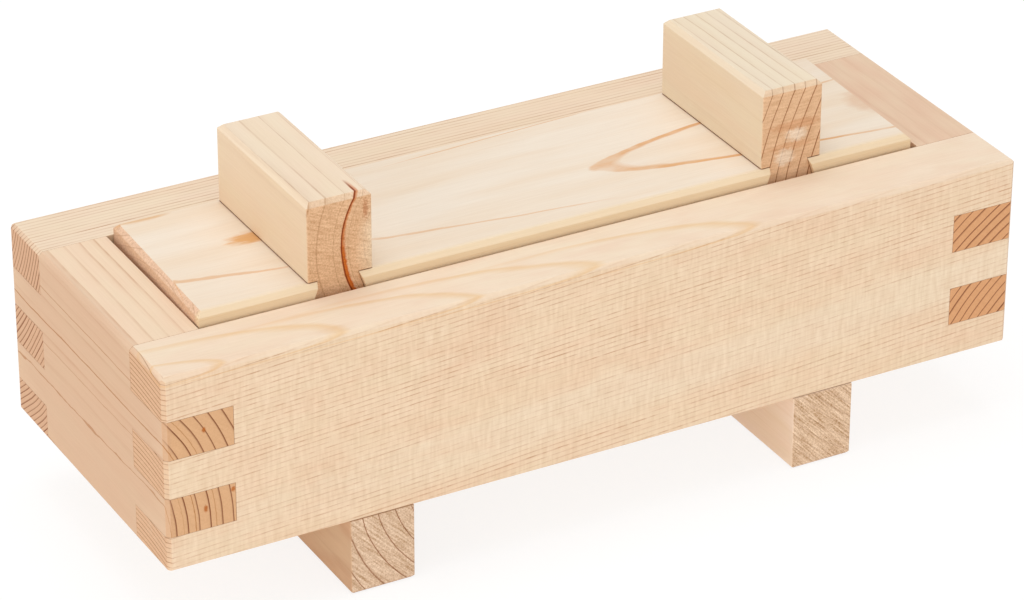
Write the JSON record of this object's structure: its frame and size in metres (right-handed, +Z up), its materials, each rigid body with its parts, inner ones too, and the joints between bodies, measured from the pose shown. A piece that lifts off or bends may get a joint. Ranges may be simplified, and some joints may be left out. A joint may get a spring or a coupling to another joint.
{
  "type": "sushi press mould",
  "caption": "Wooden box mould for pressed sushi: a bottomless finger-jointed frame, a footed base board and a sliding press board with handles.",
  "frame": {"origin": "on the surface that the feet stand on, below the middle of the frame", "axes": "+X along the mould to the right, +Y across it to the back, +Z up, the way the press board lifts out"},
  "size_m": [0.25, 0.094, 0.1029],
  "materials": {
    "side_board_wood": "planed, unfinished softwood",
    "end_board_wood": "planed, unfinished softwood",
    "press_board_wood": "planed, unfinished softwood",
    "base_board_wood": "planed, unfinished softwood",
    "handle_wood": "planed, unfinished softwood",
    "foot_wood": "planed sides, sawn ends, unfinished softwood"
  },
  "bodies": {
    "base": {"base_board": "base_board_wood", "left_foot": "foot_wood", "right_foot": "foot_wood"},
    "frame": {"front_board": "side_board_wood", "back_board": "side_board_wood", "left_end_board": "end_board_wood", "right_end_board": "end_board_wood"},
    "press": {"press_board": "press_board_wood", "left_handle": "handle_wood", "right_handle": "handle_wood"}
  },
  "joints": [
    {"name": "frame_lift", "type": "slide", "parent": "base", "child": "frame", "axis": [0, 0, 1], "range_m": [0, 0.06]},
    {"name": "press_travel", "type": "slide", "parent": "frame", "child": "press", "axis": [0, 0, 1], "range_m": [-0.034, 0.06]}
  ]
}
